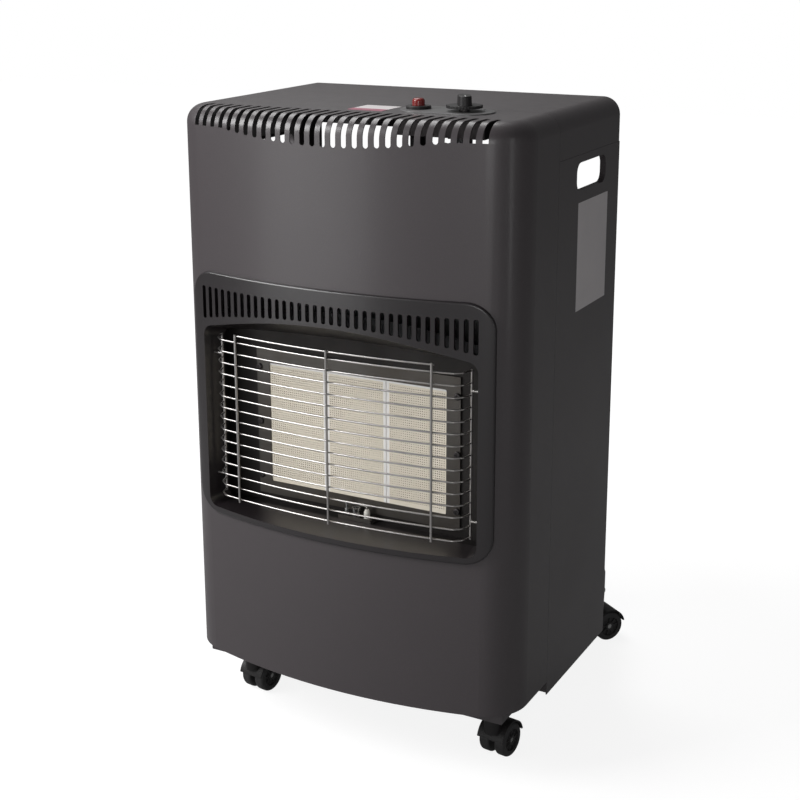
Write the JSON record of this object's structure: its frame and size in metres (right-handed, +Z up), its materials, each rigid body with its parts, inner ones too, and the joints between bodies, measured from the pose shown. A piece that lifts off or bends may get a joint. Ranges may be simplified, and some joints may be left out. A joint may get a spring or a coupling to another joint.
{
  "type": "portable gas cabinet heater",
  "caption": "Portable gas cabinet heater on casters: bowed sheet steel cabinet with slotted top, radiant ceramic burner behind a wire guard, knob and igniter on top, open back.",
  "frame": {"origin": "centre of the bounding box's footprint, on the floor under the casters", "axes": "+Z up, -Y toward the front with the burner, +X to the viewer's right"},
  "size_m": [0.42, 0.4678, 0.7531],
  "materials": {
    "cabinet_paint": "satin, fine grained dark grey",
    "bezel_paint": "satin heat resistant black",
    "guard_chrome": "bright plated wire",
    "galvanised": "galvanised sheet",
    "burner_steel": "plain heat tinted sheet",
    "ceramic": "cream, matte, finely pierced",
    "gasket_fibre": "matte white ceramic fibre",
    "brass": "turned",
    "pipe_steel": "drawn",
    "valve_cast": "die cast",
    "zinc": "zinc plated",
    "white_ceramic": "glazed",
    "red_silicone": "silicone sleeve",
    "black_plastic": "fine texture",
    "red_plastic": "glossy",
    "dial_silver": "satin silver",
    "label_grey": "printed foil, blank",
    "label_white": "printed foil, blank",
    "tyre_rubber": "soft tread"
  },
  "bodies": {
    "cabinet": {"base_tray": "cabinet_paint", "burner_bezel": "bezel_paint", "burner_brackets": "galvanised", "burner_housing": "burner_steel", "burner_plenum": "burner_steel", "caster_sockets": "black_plastic", "dial_plate": "dial_silver", "divider_panel": "galvanised", "front_panel": "cabinet_paint", "gas_injectors": "brass", "gas_pipe_centre": "pipe_steel", "gas_pipe_left": "pipe_steel", "gas_pipe_right": "pipe_steel", "gas_valve": "valve_cast", "hose_nozzle": "brass", "igniter_body": "black_plastic", "igniter_collar": "black_plastic", "ignition_lead": "red_silicone", "injector_rail": "galvanised", "mixing_tubes": "burner_steel", "pilot_bracket": "burner_steel", "pilot_burner": "brass", "pilot_tube": "pipe_steel", "pipe_nuts": "brass", "plaque_centre": "ceramic", "plaque_frame": "burner_steel", "plaque_gasket": "gasket_fibre", "plaque_left": "ceramic", "plaque_right": "ceramic", "rating_label": "label_grey", "sheet_screws": "zinc", "side_panel_left": "cabinet_paint", "side_panel_right": "cabinet_paint", "spark_electrode": "white_ceramic", "thermocouple": "burner_steel", "thermocouple_lead": "pipe_steel", "top_cover": "cabinet_paint", "top_label": "label_white", "valve_bracket": "galvanised", "wire_guard": "guard_chrome"},
    "knob_slide": {"spindle_collar": "brass"},
    "knob": {"control_knob": "black_plastic", "valve_spindle": "zinc"},
    "igniter": {"igniter_button": "red_plastic"},
    "caster_front_left": {"caster_hood_front_left": "black_plastic", "caster_pin_front_left": "zinc"},
    "wheel_a_front_left": {"caster_wheel_a_front_left": "tyre_rubber"},
    "wheel_b_front_left": {"caster_wheel_b_front_left": "tyre_rubber"},
    "caster_front_right": {"caster_hood_front_right": "black_plastic", "caster_pin_front_right": "zinc"},
    "wheel_a_front_right": {"caster_wheel_a_front_right": "tyre_rubber"},
    "wheel_b_front_right": {"caster_wheel_b_front_right": "tyre_rubber"},
    "caster_rear_left": {"caster_hood_rear_left": "black_plastic", "caster_pin_rear_left": "zinc"},
    "wheel_a_rear_left": {"caster_wheel_a_rear_left": "tyre_rubber"},
    "wheel_b_rear_left": {"caster_wheel_b_rear_left": "tyre_rubber"},
    "caster_rear_right": {"caster_hood_rear_right": "black_plastic", "caster_pin_rear_right": "zinc"},
    "wheel_a_rear_right": {"caster_wheel_a_rear_right": "tyre_rubber"},
    "wheel_b_rear_right": {"caster_wheel_b_rear_right": "tyre_rubber"}
  },
  "joints": [
    {"name": "knob_press", "type": "slide", "parent": "cabinet", "child": "knob_slide", "axis": [0, 0, -1], "range_m": [0, 0.003], "stiffness_N_per_m": 900, "springref_m": -0.003},
    {"name": "knob_turn", "type": "hinge", "parent": "knob_slide", "child": "knob", "pos_m": [0.114, -0.12933, 0.745], "axis": [0, 0, -1], "range_deg": [0, 210]},
    {"name": "igniter_press", "type": "slide", "parent": "cabinet", "child": "igniter", "axis": [0, 0, -1], "range_m": [0, 0.004], "stiffness_N_per_m": 1200, "springref_m": -0.003},
    {"name": "swivel_front_left", "type": "hinge", "parent": "cabinet", "child": "caster_front_left", "pos_m": [-0.163, -0.14333, 0.065], "axis": [0, 0, 1], "continuous": true},
    {"name": "roll_a_front_left", "type": "hinge", "parent": "caster_front_left", "child": "wheel_a_front_left", "pos_m": [-0.17078, -0.12608, 0.02], "axis": [0.9903, -0.1392, 0], "continuous": true},
    {"name": "roll_b_front_left", "type": "hinge", "parent": "caster_front_left", "child": "wheel_b_front_left", "pos_m": [-0.15077, -0.12889, 0.02], "axis": [0.9903, -0.1392, 0], "continuous": true},
    {"name": "swivel_front_right", "type": "hinge", "parent": "cabinet", "child": "caster_front_right", "pos_m": [0.163, -0.14333, 0.065], "axis": [0, 0, 1], "continuous": true},
    {"name": "roll_a_front_right", "type": "hinge", "parent": "caster_front_right", "child": "wheel_a_front_right", "pos_m": [0.15523, -0.12608, 0.02], "axis": [0.9903, -0.1392, 0], "continuous": true},
    {"name": "roll_b_front_right", "type": "hinge", "parent": "caster_front_right", "child": "wheel_b_front_right", "pos_m": [0.17523, -0.12889, 0.02], "axis": [0.9903, -0.1392, 0], "continuous": true},
    {"name": "swivel_rear_left", "type": "hinge", "parent": "cabinet", "child": "caster_rear_left", "pos_m": [-0.158, 0.19267, 0.065], "axis": [0, 0, 1], "continuous": true},
    {"name": "roll_a_rear_left", "type": "hinge", "parent": "caster_rear_left", "child": "wheel_a_rear_left", "pos_m": [-0.17558, 0.19968, 0.02], "axis": [0.809, 0.5878, 0], "continuous": true},
    {"name": "roll_b_rear_left", "type": "hinge", "parent": "caster_rear_left", "child": "wheel_b_rear_left", "pos_m": [-0.15923, 0.21155, 0.02], "axis": [0.809, 0.5878, 0], "continuous": true},
    {"name": "swivel_rear_right", "type": "hinge", "parent": "cabinet", "child": "caster_rear_right", "pos_m": [0.158, 0.19267, 0.065], "axis": [0, 0, 1], "continuous": true},
    {"name": "roll_a_rear_right", "type": "hinge", "parent": "caster_rear_right", "child": "wheel_a_rear_right", "pos_m": [0.15923, 0.21155, 0.02], "axis": [0.809, -0.5878, 0], "continuous": true},
    {"name": "roll_b_rear_right", "type": "hinge", "parent": "caster_rear_right", "child": "wheel_b_rear_right", "pos_m": [0.17558, 0.19968, 0.02], "axis": [0.809, -0.5878, 0], "continuous": true}
  ]
}
